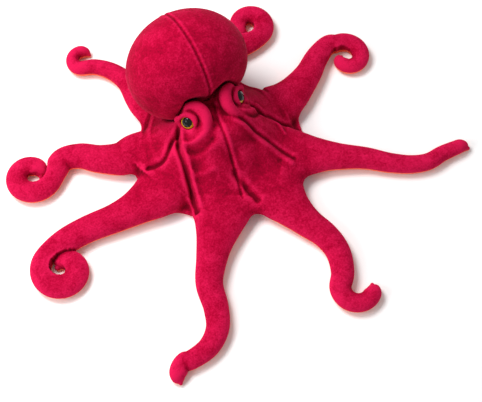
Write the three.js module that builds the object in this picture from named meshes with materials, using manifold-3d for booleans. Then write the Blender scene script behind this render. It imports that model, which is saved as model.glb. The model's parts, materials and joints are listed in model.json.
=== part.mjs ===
// Stuffed plush octopus: a round mantle, a face with two plastic eyes, and eight arms that lie on the floor.
// Millimetres, +Z up. The origin is on the floor under the middle of the body. The face looks towards -Y
// and the mantle leans back over +Y. Left is -X, as seen by someone who faces the toy. Every sewn piece is
// fabric of one thickness around its own stuffing.

import * as THREE from "three";
import { mergeVertices } from "three/addons/utils/BufferGeometryUtils.js";
import Module from "manifold-3d";

const wasm = await Module();
wasm.setup();

// ---- Driving dimensions -------------------------------------------------------------------------

const FABRIC = 2.5; // plush fabric, pile included
const GAP = 0.3; // between pieces that are sewn or seated together

// Body: a bell that falls from the face to the roots of the arms, with a thin web between the arms.
const HINGE_RADIUS = 104; // from the body's axis to the fold where each arm starts
const CROWN_HEIGHT = 102; // top of the bell, between the eyes
const CROWN_RADIUS = 30; // the bell is flat inside this radius
const SKIRT_HEIGHT = 40; // height of the bell where the arms start
const WEB_REACH = 18; // of the webs, out from the roots of the arms
const WEB_HEIGHT = 9;
const WEB_CLEARANCE = 1.5; // to the arms between them

// Mantle: the round head bag. Its axis runs from the neck, where it is dimpled, to the back.
const MANTLE_CENTRE = new THREE.Vector3(0, 82, 112);
const MANTLE_LENGTH = 80; // half, along its axis
const MANTLE_RADIUS = 85; // across its axis
const MANTLE_RISE = THREE.MathUtils.degToRad(12); // its axis points this far above +Y
const DIMPLE_DEPTH = 16; // at the neck
const DIMPLE_SPREAD = THREE.MathUtils.degToRad(35);
const MANTLE_CLEARANCE = 1.5; // to the body, the brows and the arms under it
const MANTLE_TURN_UP = 40; // degrees it can be raised from where it lies

// Neck: the mantle turns up about a fold that runs along X above the face. Both sides end in a flat face.
const NECK_HINGE = new THREE.Vector3(0, 17, 112);
const NECK_SLOPE = THREE.MathUtils.degToRad(60); // the flat faces fall back and down from the fold

// Arms: width and thickness fall from the root to the tip.
const ROOT_WIDTH = 58;
const ARM_WIDTH = 45; // once past the flare at the root
const TIP_WIDTH = 24;
const FLARE_LENGTH = 55;
const ROOT_HEIGHT = 40;
const ARM_HEIGHT = 30;
const TIP_HEIGHT = 19;
const SEAM_SHARE = 0.5; // height of the side seam, as a share of the arm's thickness
const HINGE_DEPTH = 4; // axis of the fold at the root, below the top of the arm
const FOLD_CLEARANCE = 0.4; // each side of a fold

// Each arm: the direction it leaves the body in, its centreline on the floor and the curl at its tip, both
// measured from its root fold, how far along it its middle fold is, and how many degrees it lifts, droops
// and swings. The two under the mantle are thinner at the root, and one of them is slimmer past it.
const ARMS = [
  {
    name: "arm_1",
    root: 122,
    rootHeight: 29,
    girth: 0.72,
    flareLength: 30,
    line: [[-12, 31], [-15, 56], [-25, 80], [-40, 101]],
    curl: { centre: [-43, 124], from: 225, turn: -205, start: 17, end: 14 },
    fold: 62,
    lift: 12,
    droop: 30,
    swing: 25,
  },
  {
    name: "arm_2",
    root: 161,
    line: [[-38, 7], [-65, 21], [-88, 38], [-113, 41], [-132, 27]],
    curl: { centre: [-163, 43], from: -62, turn: -285, start: 32, end: 17 },
    fold: 62,
    lift: 60,
    droop: 30,
    swing: 24,
  },
  {
    name: "arm_3",
    root: 202,
    line: [[-50, -7], [-91, -6], [-133, -1], [-172, -1]],
    curl: { centre: [-194, -39], from: 112, turn: 285, start: 35, end: 16 },
    fold: 84,
    lift: 60,
    droop: 30,
    swing: 25,
  },
  {
    name: "arm_4",
    root: 241,
    line: [[-24, -40], [-47, -72], [-68, -103], [-74, -134], [-86, -163], [-115, -181], [-148, -185]],
    curl: { centre: [-150, -207], from: 93, turn: 88, start: 22, end: 21 },
    fold: 90,
    lift: 60,
    droop: 30,
    swing: 35,
  },
  {
    name: "arm_5",
    root: 282,
    line: [[9, -43], [21, -84], [34, -117], [34, -145], [24, -173]],
    curl: { centre: [36, -201], from: 150, turn: 195, start: 24, end: 22 },
    fold: 84,
    lift: 60,
    droop: 30,
    swing: 35,
  },
  {
    name: "arm_6",
    root: 322,
    line: [[31, -27], [61, -52], [97, -72], [121, -99], [145, -122], [170, -129], [197, -124], [221, -126]],
    curl: { centre: [221, -144], from: 90, turn: -60, start: 18, end: 19 },
    fold: 90,
    lift: 60,
    droop: 30,
    swing: 30,
  },
  {
    name: "arm_7",
    root: 3,
    line: [[36, 4], [74, 21], [106, 43], [133, 55]],
    curl: { centre: [145, 22], from: 96, turn: -295, start: 33, end: 13 },
    fold: 72,
    lift: 60,
    droop: 30,
    swing: 25,
  },
  {
    name: "arm_8",
    root: 57,
    rootHeight: 32,
    line: [[19, 25], [45, 32], [71, 25]],
    curl: { centre: [85, 59], from: -76, turn: 280, start: 32, end: 14 },
    fold: 46,
    lift: 12,
    droop: 30,
    swing: 20,
  },
];

// Eyes: 20 mm plastic eyes on a round mound each side of the face, held inside by a washer.
const EYE_RADIUS = 10;
const EYE_DOME = 5; // height of the dome above its flange
const EYE_FLANGE = 1.5;
const EYE_STEM_RADIUS = 2;
const EYE_STEM_LENGTH = 13;
const IRIS_RING = 2.7; // width of yellow that shows round the pupil
const PUPIL_THICKNESS = 1.2;
const WASHER_RADIUS = 8;
const WASHER_THICKNESS = 1.5;
const WASHER_CLEARANCE = 1.4; // to the round inside of the mound
const MOUND_RADIUS = 22;
const MOUND_CENTRE = new THREE.Vector3(28, 10, 84);
const EYE_AXIS = new THREE.Vector3(0.577, -0.408, 0.707).normalize();
const EYE_SINK = 1; // depth of the back of the eye in the fabric
const LID_CLEARANCE = 0.9; // to the rim of the eye
const LID_THICKNESS = 2.2;
const LID_EDGE = 3; // the lid covers the eye above this height over its middle
const BROW_REACH = 9; // from the rim of the eye to the middle of the brow roll
const BROW_THICKNESS = 4.6; // radius of the roll
const BROW_SINK = 1.5; // depth of the middle of the roll below the back of the eye

// ---- Materials ----------------------------------------------------------------------------------

const plush = (color) => new THREE.MeshStandardMaterial({ color, roughness: 0.95, metalness: 0 });
const CRIMSON_PLUSH = plush(0xb80f3c);
const ORANGE_PLUSH = plush(0xf0543c);
const STUFFING = plush(0xf4f1ea);
const YELLOW_PLASTIC = new THREE.MeshStandardMaterial({ color: 0xf2c73a, roughness: 0.2, metalness: 0 });
const BLACK_PLASTIC = new THREE.MeshStandardMaterial({ color: 0x0a0a0c, roughness: 0.08, metalness: 0 });
const CLEAR_PLASTIC = new THREE.MeshStandardMaterial({ color: 0xe6e4dc, roughness: 0.4, metalness: 0 });

// ---- Solids -------------------------------------------------------------------------------------

const UP = new THREE.Vector3(0, 0, 1);
const radians = THREE.MathUtils.degToRad;

// A closed three.js geometry as a solid that can be cut and joined.
function solid(geometry) {
  const bare = geometry.index ? geometry.toNonIndexed() : geometry.clone();
  bare.deleteAttribute("normal");
  bare.deleteAttribute("uv");
  const merged = mergeVertices(bare, 1e-4);
  const corners = merged.index.array;
  const faces = [];
  for (let i = 0; i < corners.length; i += 3) {
    const [a, b, c] = corners.slice(i, i + 3);
    if (a !== b && b !== c && c !== a) faces.push(a, b, c); // the others collapse on an axis
  }
  const vertProperties = merged.attributes.position.array;
  const mesh = new wasm.Mesh({ numProp: 3, vertProperties, triVerts: new Uint32Array(faces) });
  mesh.merge();
  return new wasm.Manifold(mesh);
}

// A solid as a geometry again.
function geometryOf(made) {
  const mesh = made.getMesh();
  const geometry = new THREE.BufferGeometry();
  geometry.setAttribute("position", new THREE.BufferAttribute(new Float32Array(mesh.vertProperties), 3));
  geometry.setIndex(new THREE.BufferAttribute(new Uint32Array(mesh.triVerts), 1));
  geometry.computeVertexNormals();
  return geometry;
}

// The rotation and place that carry local X, Y, Z to three directions at a point.
function frame(x, y, z, at) {
  return new THREE.Matrix4().makeBasis(x, y, z).setPosition(at);
}

// A profile of [radius, height] points turned about +Z, as a solid.
function turned(profile, sides) {
  const outline = profile.map(([r, h]) => new THREE.Vector2(r, h));
  return solid(new THREE.LatheGeometry(outline, sides).rotateX(Math.PI / 2));
}

// An outline extruded along +Z from 0 to depth.
function extruded(outline, depth) {
  const shape = new THREE.Shape(outline.map(([x, y]) => new THREE.Vector2(x, y)));
  return new THREE.ExtrudeGeometry(shape, { depth, bevelEnabled: false });
}

function box(size, centre) {
  return solid(new THREE.BoxGeometry(...size).translate(...centre));
}

// A solid through rings of points that have the same count, with flat ends. Each ring has its outline in
// the plane across the way it runs: X to the right and Y up, counterclockwise when looking along. Each
// four-cornered patch is split along its shorter diagonal, so that surfaces side by side split alike.
function lofted(rings) {
  const count = rings[0].points.length;
  const corners = rings.flatMap((ring) => ring.points);
  const positions = corners.flatMap((p) => [p.x, p.y, p.z]);
  const index = [];
  for (let i = 0; i + 1 < rings.length; i++) {
    for (let j = 0; j < count; j++) {
      const a = i * count + j;
      const b = i * count + ((j + 1) % count);
      const across = corners[a].distanceTo(corners[b + count]);
      const other = corners[b].distanceTo(corners[a + count]);
      if (across < other) index.push(a, b + count, b, a, a + count, b + count);
      else index.push(a, a + count, b, b, a + count, b + count);
    }
  }
  for (const [a, b, c] of THREE.ShapeUtils.triangulateShape(rings[0].outline, [])) index.push(a, b, c);
  const last = (rings.length - 1) * count;
  for (const [a, b, c] of THREE.ShapeUtils.triangulateShape(rings.at(-1).outline, [])) {
    index.push(last + c, last + b, last + a);
  }
  const geometry = new THREE.BufferGeometry();
  geometry.setAttribute("position", new THREE.Float32BufferAttribute(positions, 3));
  geometry.setIndex(index);
  return solid(geometry);
}

// ---- Arms ---------------------------------------------------------------------------------------

const ROOT_RUN = 16; // straight stretch each side of the root fold
const STEM_STEP = 22; // along a straight stretch
const CURL_STEP = 13; // along a curl
const CURL_POINT_TURN = 24; // degrees between the points that make a curl
const TIP_ROUND = 16; // the last stretch, which rounds off
const TIP_RINGS = [TIP_ROUND, 10, 5.5, FABRIC + GAP, 0]; // distances from the end

function direction(degrees) {
  return new THREE.Vector3(Math.cos(radians(degrees)), Math.sin(radians(degrees)), 0);
}

// The centreline on the floor: straight out of the body, through the arm's points, then round its curl.
function centreline(arm) {
  const out = direction(arm.root);
  const root = out.clone().multiplyScalar(HINGE_RADIUS);
  const points = [-ROOT_RUN, 0, ROOT_RUN].map((run) => root.clone().addScaledVector(out, run));
  points.push(...arm.line.map(([x, y]) => new THREE.Vector3(x, y, 0).add(root)));
  const { centre, from, turn, start, end } = arm.curl;
  const steps = Math.ceil(Math.abs(turn) / CURL_POINT_TURN);
  for (let i = 0; i <= steps; i++) {
    const share = i / steps;
    const radius = start + (end - start) * share;
    const spoke = direction(from + turn * share).multiplyScalar(radius);
    points.push(new THREE.Vector3(...centre, 0).add(root).add(spoke));
  }
  const curve = new THREE.CatmullRomCurve3(points, false, "centripetal");
  curve.arcLengthDivisions = 600;
  return curve;
}

// Width and thickness of an arm at a distance from its root fold.
function armSize(arm, distance, length) {
  const share = Math.max(0, distance / length);
  const flare = Math.exp(-Math.max(0, distance) / (arm.flareLength ?? FLARE_LENGTH));
  const taper = Math.pow(share, 1.2);
  const rootHeight = arm.rootHeight ?? ROOT_HEIGHT;
  const girth = arm.girth ?? 1;
  const stem = (ARM_WIDTH - (ARM_WIDTH - TIP_WIDTH) * taper) * girth;
  let width = (ROOT_WIDTH - ARM_WIDTH * girth) * flare + stem;
  let height = (rootHeight - ARM_HEIGHT) * flare + ARM_HEIGHT - (ARM_HEIGHT - TIP_HEIGHT) * taper;
  const left = (length - distance) / TIP_ROUND;
  if (left < 1) {
    const round = Math.sqrt(Math.max(0.06, 1 - (1 - left) ** 2));
    width *= round;
    height *= 0.35 + 0.65 * round;
  }
  return { width, height };
}

const ARCH_STEPS = 4; // edges of the upper arch of an arm's section
const KEEL_STEPS = 3; // edges of its lower half, the middle one flat on the floor

// The upper arch from one side seam to the other, inset from the fabric's outer face.
function arch(size, inset) {
  const seam = size.height * SEAM_SHARE;
  return Array.from({ length: ARCH_STEPS + 1 }, (_, i) => {
    const t = (Math.PI * i) / ARCH_STEPS;
    const across = (size.width / 2 - inset) * Math.cos(t);
    return [across, seam + GAP / 2 + (size.height - seam - inset - GAP / 2) * Math.sin(t)];
  });
}

// The lower half, flatter where it rests on the floor, back from the second seam to the first.
function keel(size, inset) {
  const seam = size.height * SEAM_SHARE;
  return Array.from({ length: KEEL_STEPS + 1 }, (_, i) => {
    const t = (Math.PI * i) / KEEL_STEPS;
    const across = -(size.width / 2 - inset) * Math.cos(t);
    const deep = i > 0 && i < KEEL_STEPS ? 1 : 0;
    return [across, seam - GAP / 2 - (seam - GAP / 2 - inset) * deep];
  });
}

const topSection = (size) => [...arch(size, 0), ...arch(size, FABRIC).reverse()];
const underSection = (size) => [...keel(size, 0), ...keel(size, FABRIC).reverse()];
const fillSection = (size) => [
  ...arch(size, FABRIC + GAP).map(([x, z]) => [x, Math.max(z, size.height * SEAM_SHARE)]),
  ...keel(size, FABRIC + GAP).slice(1, -1),
];

// Distances from the root fold where an arm has a ring: one at the middle fold, wider apart on the stem,
// closer on the curl and at the rounded tip. Its fabric and its stuffing share them.
function ringDistances(arm) {
  const tip = TIP_RINGS.map((left) => arm.length - left);
  const distances = [0];
  for (const end of [arm.fold, tip[0]]) {
    while (distances.at(-1) < end) {
      const at = distances.at(-1);
      const step = at < arm.length - arm.curlLength - STEM_STEP ? STEM_STEP : CURL_STEP;
      distances.push(end - at < step * 1.4 ? end : at + step);
    }
  }
  return [...distances, ...tip.slice(1)];
}

// One stretch of an arm between two of its ring distances, with the given section.
function armStretch(arm, section, from, to) {
  const whole = arm.curve.getLength();
  const distances = arm.rings.filter((distance) => distance >= from && distance <= to);
  const rings = distances.map((distance) => {
    const u = Math.min(1, (arm.start + distance) / whole);
    const at = arm.curve.getPointAt(u);
    const left = UP.clone().cross(arm.curve.getTangentAt(u)).normalize();
    const outline = section(armSize(arm, distance, arm.length)).map(([x, z]) => new THREE.Vector2(x, z));
    return { outline, points: outline.map((p) => at.clone().addScaledVector(left, -p.x).setZ(p.y)) };
  });
  return lofted(rings);
}

// The room that a fold needs: a bow tie across its axis, whose wings open by half of each limit.
// Local X runs along the arm and local Y across the fold's axis, which is local Z.
function foldRoom(limitPlus, limitMinus, reach, axisLength) {
  const plus = FOLD_CLEARANCE + reach * Math.tan(radians(limitPlus / 2));
  const minus = FOLD_CLEARANCE + reach * Math.tan(radians(limitMinus / 2));
  const outline = [
    [-FOLD_CLEARANCE, 0],
    [-minus, -reach],
    [minus, -reach],
    [FOLD_CLEARANCE, 0],
    [plus, reach],
    [-plus, reach],
  ];
  return extruded(outline, axisLength).translate(0, 0, -axisLength / 2);
}

// The room for the lifting fold at an arm's root.
function rootFoldRoom(arm) {
  const out = direction(arm.root);
  const side = UP.clone().cross(out);
  const at = out.clone().multiplyScalar(HINGE_RADIUS).setZ((arm.rootHeight ?? ROOT_HEIGHT) - HINGE_DEPTH);
  const place = frame(out, UP, side.negate(), at);
  const width = ROOT_WIDTH + 2 * FOLD_CLEARANCE;
  return solid(foldRoom(arm.lift, arm.droop, ROOT_HEIGHT, width).applyMatrix4(place));
}

// The room for the sideways fold in the middle of an arm.
function middleFoldRoom(arm) {
  const u = (arm.start + arm.fold) / arm.curve.getLength();
  const along = arm.curve.getTangentAt(u);
  const place = frame(along, UP.clone().cross(along), UP, arm.curve.getPointAt(u));
  return solid(foldRoom(arm.swing, arm.swing, ROOT_WIDTH / 2, 4 * ARM_HEIGHT).applyMatrix4(place));
}

for (const arm of ARMS) {
  arm.curve = centreline(arm);
  arm.start = ROOT_RUN;
  arm.length = arm.curve.getLength() - arm.start;
  arm.curlLength = (Math.abs(radians(arm.curl.turn)) * (arm.curl.start + arm.curl.end)) / 2;
  arm.rings = ringDistances(arm);
  arm.rootRoom = rootFoldRoom(arm);
  arm.middleRoom = middleFoldRoom(arm);
}

// The strip of floor that an arm takes beside the body, with its sewing gap.
function armStrip(arm) {
  const reach = 2 * WEB_REACH + HINGE_RADIUS * (BELL_FLATS - 1);
  const strip = new THREE.BoxGeometry(reach, ROOT_WIDTH + 2 * WEB_CLEARANCE, 4 * SKIRT_HEIGHT);
  strip.translate(HINGE_RADIUS - FOLD_CLEARANCE + reach / 2, 0, 0);
  return solid(strip.rotateZ(radians(arm.root)));
}

// ---- Mantle -------------------------------------------------------------------------------------

const SIDES = [
  { side: "left", sign: -1 },
  { side: "right", sign: 1 },
];
const MANTLE_SIDES = 20;
const MANTLE_RINGS = 13;

// The mantle's solid shape, grown or shrunk by an offset, with its axis up the local Z.
function mantleShape(offset) {
  const profile = [];
  for (let i = 0; i <= MANTLE_RINGS; i++) {
    const angle = (Math.PI * i) / MANTLE_RINGS; // from the neck
    const round = 1 / Math.hypot(Math.cos(angle) / MANTLE_LENGTH, Math.sin(angle) / MANTLE_RADIUS);
    const radius = round + offset - DIMPLE_DEPTH * Math.exp(-((angle / DIMPLE_SPREAD) ** 2));
    const out = i === 0 || i === MANTLE_RINGS ? 0 : radius * Math.sin(angle);
    profile.push([out, -radius * Math.cos(angle)]);
  }
  const geometry = new THREE.LatheGeometry(profile.map(([r, h]) => new THREE.Vector2(r, h)), MANTLE_SIDES);
  geometry.rotateX(MANTLE_RISE); // a lathe's axis is +Y already
  return solid(geometry.translate(...MANTLE_CENTRE.toArray()));
}

// Everything on the mantle's side of the neck's flat faces, moved away from them by an offset.
function behindNeck(offset) {
  const size = 4 * MANTLE_RADIUS;
  const slab = new THREE.BoxGeometry(size, size, size).translate(0, 0, size / 2 + offset);
  return solid(slab.rotateX(-NECK_SLOPE).translate(...NECK_HINGE.toArray()));
}

const mantleSolid = (offset, neckOffset) => mantleShape(offset).intersect(behindNeck(neckOffset));

// ---- Body ---------------------------------------------------------------------------------------

const BODY_SIDES = 28;
const BODY_FLOOR = FABRIC + GAP; // the upper pieces stand on the underside panel
const BELL_FLATS = 1 / Math.cos(Math.PI / BODY_SIDES); // the bell's flats are at its radius, not its corners

// Height of the bell at a distance from the body's axis.
function bellHeight(radius) {
  const share = THREE.MathUtils.clamp((radius - CROWN_RADIUS) / (HINGE_RADIUS - CROWN_RADIUS), 0, 1);
  return SKIRT_HEIGHT + ((CROWN_HEIGHT - SKIRT_HEIGHT) * (1 + Math.cos(Math.PI * share))) / 2;
}

const FACE_SEAM_TURN = (ARMS[3].root + ARMS[4].root) / 2 - 270; // the seam runs between two arms' roots
const BELL_RINGS = [0, 0.3, 0.45, 0.62, 0.8, 0.92, 1];

// The bell without its webs, inset from its outer face and standing on the floor height given.
function bell(inset, floor) {
  const edge = (HINGE_RADIUS - inset) * BELL_FLATS;
  const profile = [[0, floor], [edge, floor]];
  for (const share of [...BELL_RINGS].reverse()) {
    profile.push([edge * share, bellHeight(HINGE_RADIUS * share) - inset]);
  }
  return turned(profile, BODY_SIDES);
}

function webDisc(low, high) {
  const edge = (HINGE_RADIUS + WEB_REACH) * BELL_FLATS;
  const middle = (low + high) / 2;
  return turned([[0, low], [edge, low], [edge, middle], [HINGE_RADIUS, high], [0, high]], BODY_SIDES);
}

// The mound under an eye, on the side given by sign.
function mound(sign, inset) {
  const ball = new THREE.SphereGeometry(MOUND_RADIUS - inset, 14, 8).rotateX(Math.PI / 2);
  return solid(ball.translate(sign * MOUND_CENTRE.x, MOUND_CENTRE.y, MOUND_CENTRE.z));
}

// Cuts away where the arms fold and lie.
function cutForArms(made) {
  for (const arm of ARMS) made = made.subtract(arm.rootRoom).subtract(armStrip(arm));
  return made;
}

// The room that the mantle takes in the body, further out by an offset.
const mantleRoom = (offset) => mantleSolid(MANTLE_CLEARANCE + offset, -GAP - offset);

// The room that the mantle takes when it is raised to its limit.
function raisedMantleRoom() {
  const [x, y, z] = NECK_HINGE.toArray();
  const lying = mantleSolid(MANTLE_CLEARANCE, 0).translate([-x, -y, -z]);
  return lying.rotate([MANTLE_TURN_UP, 0, 0]).translate([x, y, z]);
}

// The body's shape inset from the fabric's outer face, standing on the floor height given.
function bodyShape(inset, floor) {
  let made = bell(inset, floor);
  for (const { sign } of SIDES) made = made.add(mound(sign, inset));
  return made.subtract(mantleRoom(inset));
}

// ---- Eyes ---------------------------------------------------------------------------------------

// A frame at the back of an eye: local Z looks out of the eye and local Y is up its face.
function eyeFrame(sign) {
  const axis = new THREE.Vector3(sign * EYE_AXIS.x, EYE_AXIS.y, EYE_AXIS.z);
  const up = UP.clone().addScaledVector(axis, -UP.dot(axis)).normalize();
  const centre = new THREE.Vector3(sign * MOUND_CENTRE.x, MOUND_CENTRE.y, MOUND_CENTRE.z);
  return frame(up.clone().cross(axis), up, axis, centre.addScaledVector(axis, MOUND_RADIUS - EYE_SINK));
}

const EYE_SIDES = 18;
const domeRadius = (EYE_RADIUS ** 2 + EYE_DOME ** 2) / (2 * EYE_DOME);
const domeHeight = (r) => Math.sqrt(domeRadius ** 2 - r ** 2) - domeRadius + EYE_DOME + EYE_FLANGE;

// The yellow eye with its stem, which goes through the fabric.
function iris() {
  const end = -EYE_STEM_LENGTH;
  const stem = [[0, end], [EYE_STEM_RADIUS, end], [EYE_STEM_RADIUS, 0], [EYE_RADIUS, 0]];
  const dome = [1, 0.86, 0.65, 0.35, 0].map((share) => [EYE_RADIUS * share, domeHeight(EYE_RADIUS * share)]);
  return turned([...stem, ...dome], EYE_SIDES);
}

// The black pupil, a thin dome on the yellow one.
function pupil() {
  const radii = [0, 0.4, 0.75, 1].map((share) => (EYE_RADIUS - IRIS_RING) * share);
  const under = radii.map((r) => [r, domeHeight(r) + GAP]);
  const over = radii.map((r) => [r, domeHeight(r) + GAP + PUPIL_THICKNESS]).reverse();
  return turned([...under, ...over], EYE_SIDES);
}

const MOUND_INSIDE = Math.sqrt((MOUND_RADIUS - FABRIC) ** 2 - WASHER_RADIUS ** 2);
const WASHER_TOP = MOUND_INSIDE - (MOUND_RADIUS - EYE_SINK) - WASHER_CLEARANCE;

// The washer that clips on the stem behind the fabric.
function washer() {
  const bore = EYE_STEM_RADIUS + GAP;
  const top = WASHER_TOP;
  const low = top - WASHER_THICKNESS;
  const rim = WASHER_RADIUS;
  return turned([[bore, low], [rim, low], [rim, top], [bore, top], [bore, low]], EYE_SIDES);
}

// The hood of fabric over the upper part of the eye.
function eyelid() {
  const lining = EYE_RADIUS + LID_CLEARANCE;
  const outer = solid(new THREE.SphereGeometry(lining + LID_THICKNESS, 16, 10));
  const inner = solid(new THREE.SphereGeometry(lining, 16, 10));
  const reach = 4 * EYE_RADIUS;
  const upper = box([reach, reach, reach], [0, LID_EDGE + reach / 2, 0]);
  return outer.subtract(inner).intersect(upper);
}

// The soft roll over the eyelid, from beside the nose round to the temple.
function brow() {
  const sides = 8;
  const section = Array.from({ length: sides }, (_, i) => {
    const t = (2 * Math.PI * i) / sides;
    return new THREE.Vector2(Math.cos(t) * BROW_THICKNESS, Math.sin(t) * BROW_THICKNESS);
  });
  const rings = [];
  const first = 5;
  const last = 175;
  const steps = 9;
  for (let i = 0; i <= steps; i++) {
    const angle = first + ((last - first) * i) / steps;
    const out = direction(angle);
    const size = 0.55 + 0.45 * Math.sin((Math.PI * i) / steps);
    const reach = EYE_RADIUS + BROW_REACH;
    const place = (p) => out.clone().multiplyScalar(reach + p.x * size).setZ(p.y * size - BROW_SINK);
    rings.push({ outline: section, points: section.map(place) });
  }
  return lofted(rings);
}

// What the eye and its washer take out of the fabric and of the stuffing.
function eyeSeat() {
  const seat = EYE_RADIUS + GAP;
  const hole = EYE_STEM_RADIUS + GAP;
  const low = -EYE_STEM_LENGTH - GAP;
  const high = EYE_FLANGE + EYE_DOME;
  return turned([[0, low], [hole, low], [hole, -GAP], [seat, -GAP], [seat, high], [0, high]], EYE_SIDES);
}

function washerRoom() {
  const top = WASHER_TOP + GAP;
  const low = top - WASHER_THICKNESS - 2 * GAP;
  return turned([[0, low], [WASHER_RADIUS + GAP, low], [WASHER_RADIUS + GAP, top], [0, top]], EYE_SIDES);
}

// ---- Assembly -----------------------------------------------------------------------------------

const octopus = new THREE.Group();

function add(name, made, material, parent = octopus) {
  const mesh = new THREE.Mesh(geometryOf(made), material);
  mesh.name = name;
  parent.add(mesh);
}

// The half of a solid on one side of a seam through the middle, with its sewing gap. The seam runs along Y,
// turned about +Z by the degrees given.
function half(made, sign, turn) {
  const size = 4 * (HINGE_RADIUS + MANTLE_RADIUS);
  const slab = box([size, size, size], [sign * (size / 2 + GAP / 2), 0, 0]);
  return made.intersect(slab.rotate([0, 0, turn]));
}

function addMantle() {
  const outer = mantleSolid(0, GAP);
  const inner = mantleSolid(-FABRIC, GAP + FABRIC);
  const neck = mantleSolid(-6 * FABRIC, 0); // the fabric is open where it is sewn to the neck
  const skin = outer.subtract(inner).subtract(neck);
  for (const { side, sign } of SIDES) add(`mantle_panel_${side}`, half(skin, sign, 0), CRIMSON_PLUSH);
  add("mantle_stuffing", mantleSolid(-FABRIC - GAP, GAP + FABRIC + GAP), STUFFING);
}

function addBody() {
  const outer = bodyShape(0, BODY_FLOOR).add(webDisc(BODY_FLOOR, WEB_HEIGHT));
  let skin = cutForArms(outer.subtract(bodyShape(FABRIC, 0)));
  let fill = cutForArms(bodyShape(FABRIC + GAP, BODY_FLOOR));
  for (const { sign } of SIDES) {
    const place = eyeFrame(sign).elements;
    skin = skin.subtract(eyeSeat().transform(place));
    fill = fill.subtract(eyeSeat().transform(place)).subtract(washerRoom().transform(place));
  }
  for (const { side, sign } of SIDES) {
    add(`face_panel_${side}`, half(skin, sign, FACE_SEAM_TURN), CRIMSON_PLUSH);
  }
  add("body_stuffing", fill, STUFFING);
  add("body_underside", cutForArms(webDisc(0, FABRIC)), ORANGE_PLUSH);
  addEyes(outer);
}

function addEyes(bodyOuter) {
  const taken = bodyOuter.add(mantleRoom(0)).add(raisedMantleRoom());
  for (const { side, sign } of SIDES) {
    const place = eyeFrame(sign).elements;
    add(`eye_iris_${side}`, iris().transform(place), YELLOW_PLASTIC);
    add(`eye_pupil_${side}`, pupil().transform(place), BLACK_PLASTIC);
    add(`eye_washer_${side}`, washer().transform(place), CLEAR_PLASTIC);
    const clear = taken.add(mound(sign, -GAP));
    add(`eyelid_${side}`, eyelid().transform(place).subtract(clear), CRIMSON_PLUSH);
    add(`brow_${side}`, brow().transform(place).subtract(clear), CRIMSON_PLUSH);
  }
}

function addArm(arm) {
  const group = new THREE.Group();
  octopus.add(group);
  const atRoot = (section) => armStretch(arm, section, 0, arm.fold).subtract(arm.rootRoom);
  const base = (section) => atRoot(section).subtract(arm.middleRoom);
  const end = (section) => armStretch(arm, section, arm.fold, arm.length).subtract(arm.middleRoom);
  add(`${arm.name}_base_top`, base(topSection), CRIMSON_PLUSH, group);
  add(`${arm.name}_base_under`, base(underSection), ORANGE_PLUSH, group);
  add(`${arm.name}_end_top`, end(topSection), CRIMSON_PLUSH, group);
  add(`${arm.name}_end_under`, end(underSection), ORANGE_PLUSH, group);
  const fill = armStretch(arm, fillSection, 0, arm.rings.at(-2)).subtract(arm.rootRoom);
  add(`${arm.name}_stuffing`, fill, STUFFING, group);
}

addMantle();
addBody();
ARMS.forEach(addArm);

export default octopus;
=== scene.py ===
# Stuffed plush octopus. Lengths in this file are millimetres until a mesh is made, and +Z is up. The
# octopus lies on the floor with its face towards -Y. Left is -X, as seen by someone who faces the toy.

import json
import math

import bpy
import numpy as np
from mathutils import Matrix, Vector
from mathutils.bvhtree import BVHTree


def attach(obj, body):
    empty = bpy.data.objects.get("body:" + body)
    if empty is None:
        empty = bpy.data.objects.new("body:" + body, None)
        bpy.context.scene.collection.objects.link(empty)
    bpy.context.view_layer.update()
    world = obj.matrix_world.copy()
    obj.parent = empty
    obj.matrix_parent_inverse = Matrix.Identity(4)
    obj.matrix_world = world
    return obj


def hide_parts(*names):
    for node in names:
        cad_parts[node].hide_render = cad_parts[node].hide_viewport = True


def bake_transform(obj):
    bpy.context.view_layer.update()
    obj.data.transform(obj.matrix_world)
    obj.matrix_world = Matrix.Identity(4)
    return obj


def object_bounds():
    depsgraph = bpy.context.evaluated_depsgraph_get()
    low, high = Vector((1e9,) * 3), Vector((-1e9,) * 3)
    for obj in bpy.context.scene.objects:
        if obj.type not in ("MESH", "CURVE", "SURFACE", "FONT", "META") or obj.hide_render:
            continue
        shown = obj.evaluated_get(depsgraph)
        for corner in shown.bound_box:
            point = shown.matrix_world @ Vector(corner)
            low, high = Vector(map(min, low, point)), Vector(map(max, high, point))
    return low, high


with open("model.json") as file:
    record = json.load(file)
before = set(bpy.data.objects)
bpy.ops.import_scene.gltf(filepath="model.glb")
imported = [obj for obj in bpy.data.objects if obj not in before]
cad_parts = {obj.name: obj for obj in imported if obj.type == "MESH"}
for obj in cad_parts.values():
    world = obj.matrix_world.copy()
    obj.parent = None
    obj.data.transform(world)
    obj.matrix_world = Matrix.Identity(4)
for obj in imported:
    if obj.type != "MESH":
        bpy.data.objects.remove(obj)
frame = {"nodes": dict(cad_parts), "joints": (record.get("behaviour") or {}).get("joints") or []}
cad_low, cad_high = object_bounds()

MM = 0.001
JOINTS = {joint["name"]: joint for joint in frame["joints"]}
BOX_LOW = np.array(cad_low) / MM
BOX_HIGH = np.array(cad_high) / MM


def link(data, name):
    """A new object in the scene."""
    made = bpy.data.objects.new(name, data)
    bpy.context.scene.collection.objects.link(made)
    return made


# ---- Camera, floor and light ----

CAMERA_ELEVATION = math.radians(65)
CAMERA_AZIMUTH = math.radians(-30)
CAMERA_DISTANCE = 1.6
CAMERA_LENS = 82
CAMERA_TARGET = Vector((-0.0144, -0.1022, 0.0))


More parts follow.
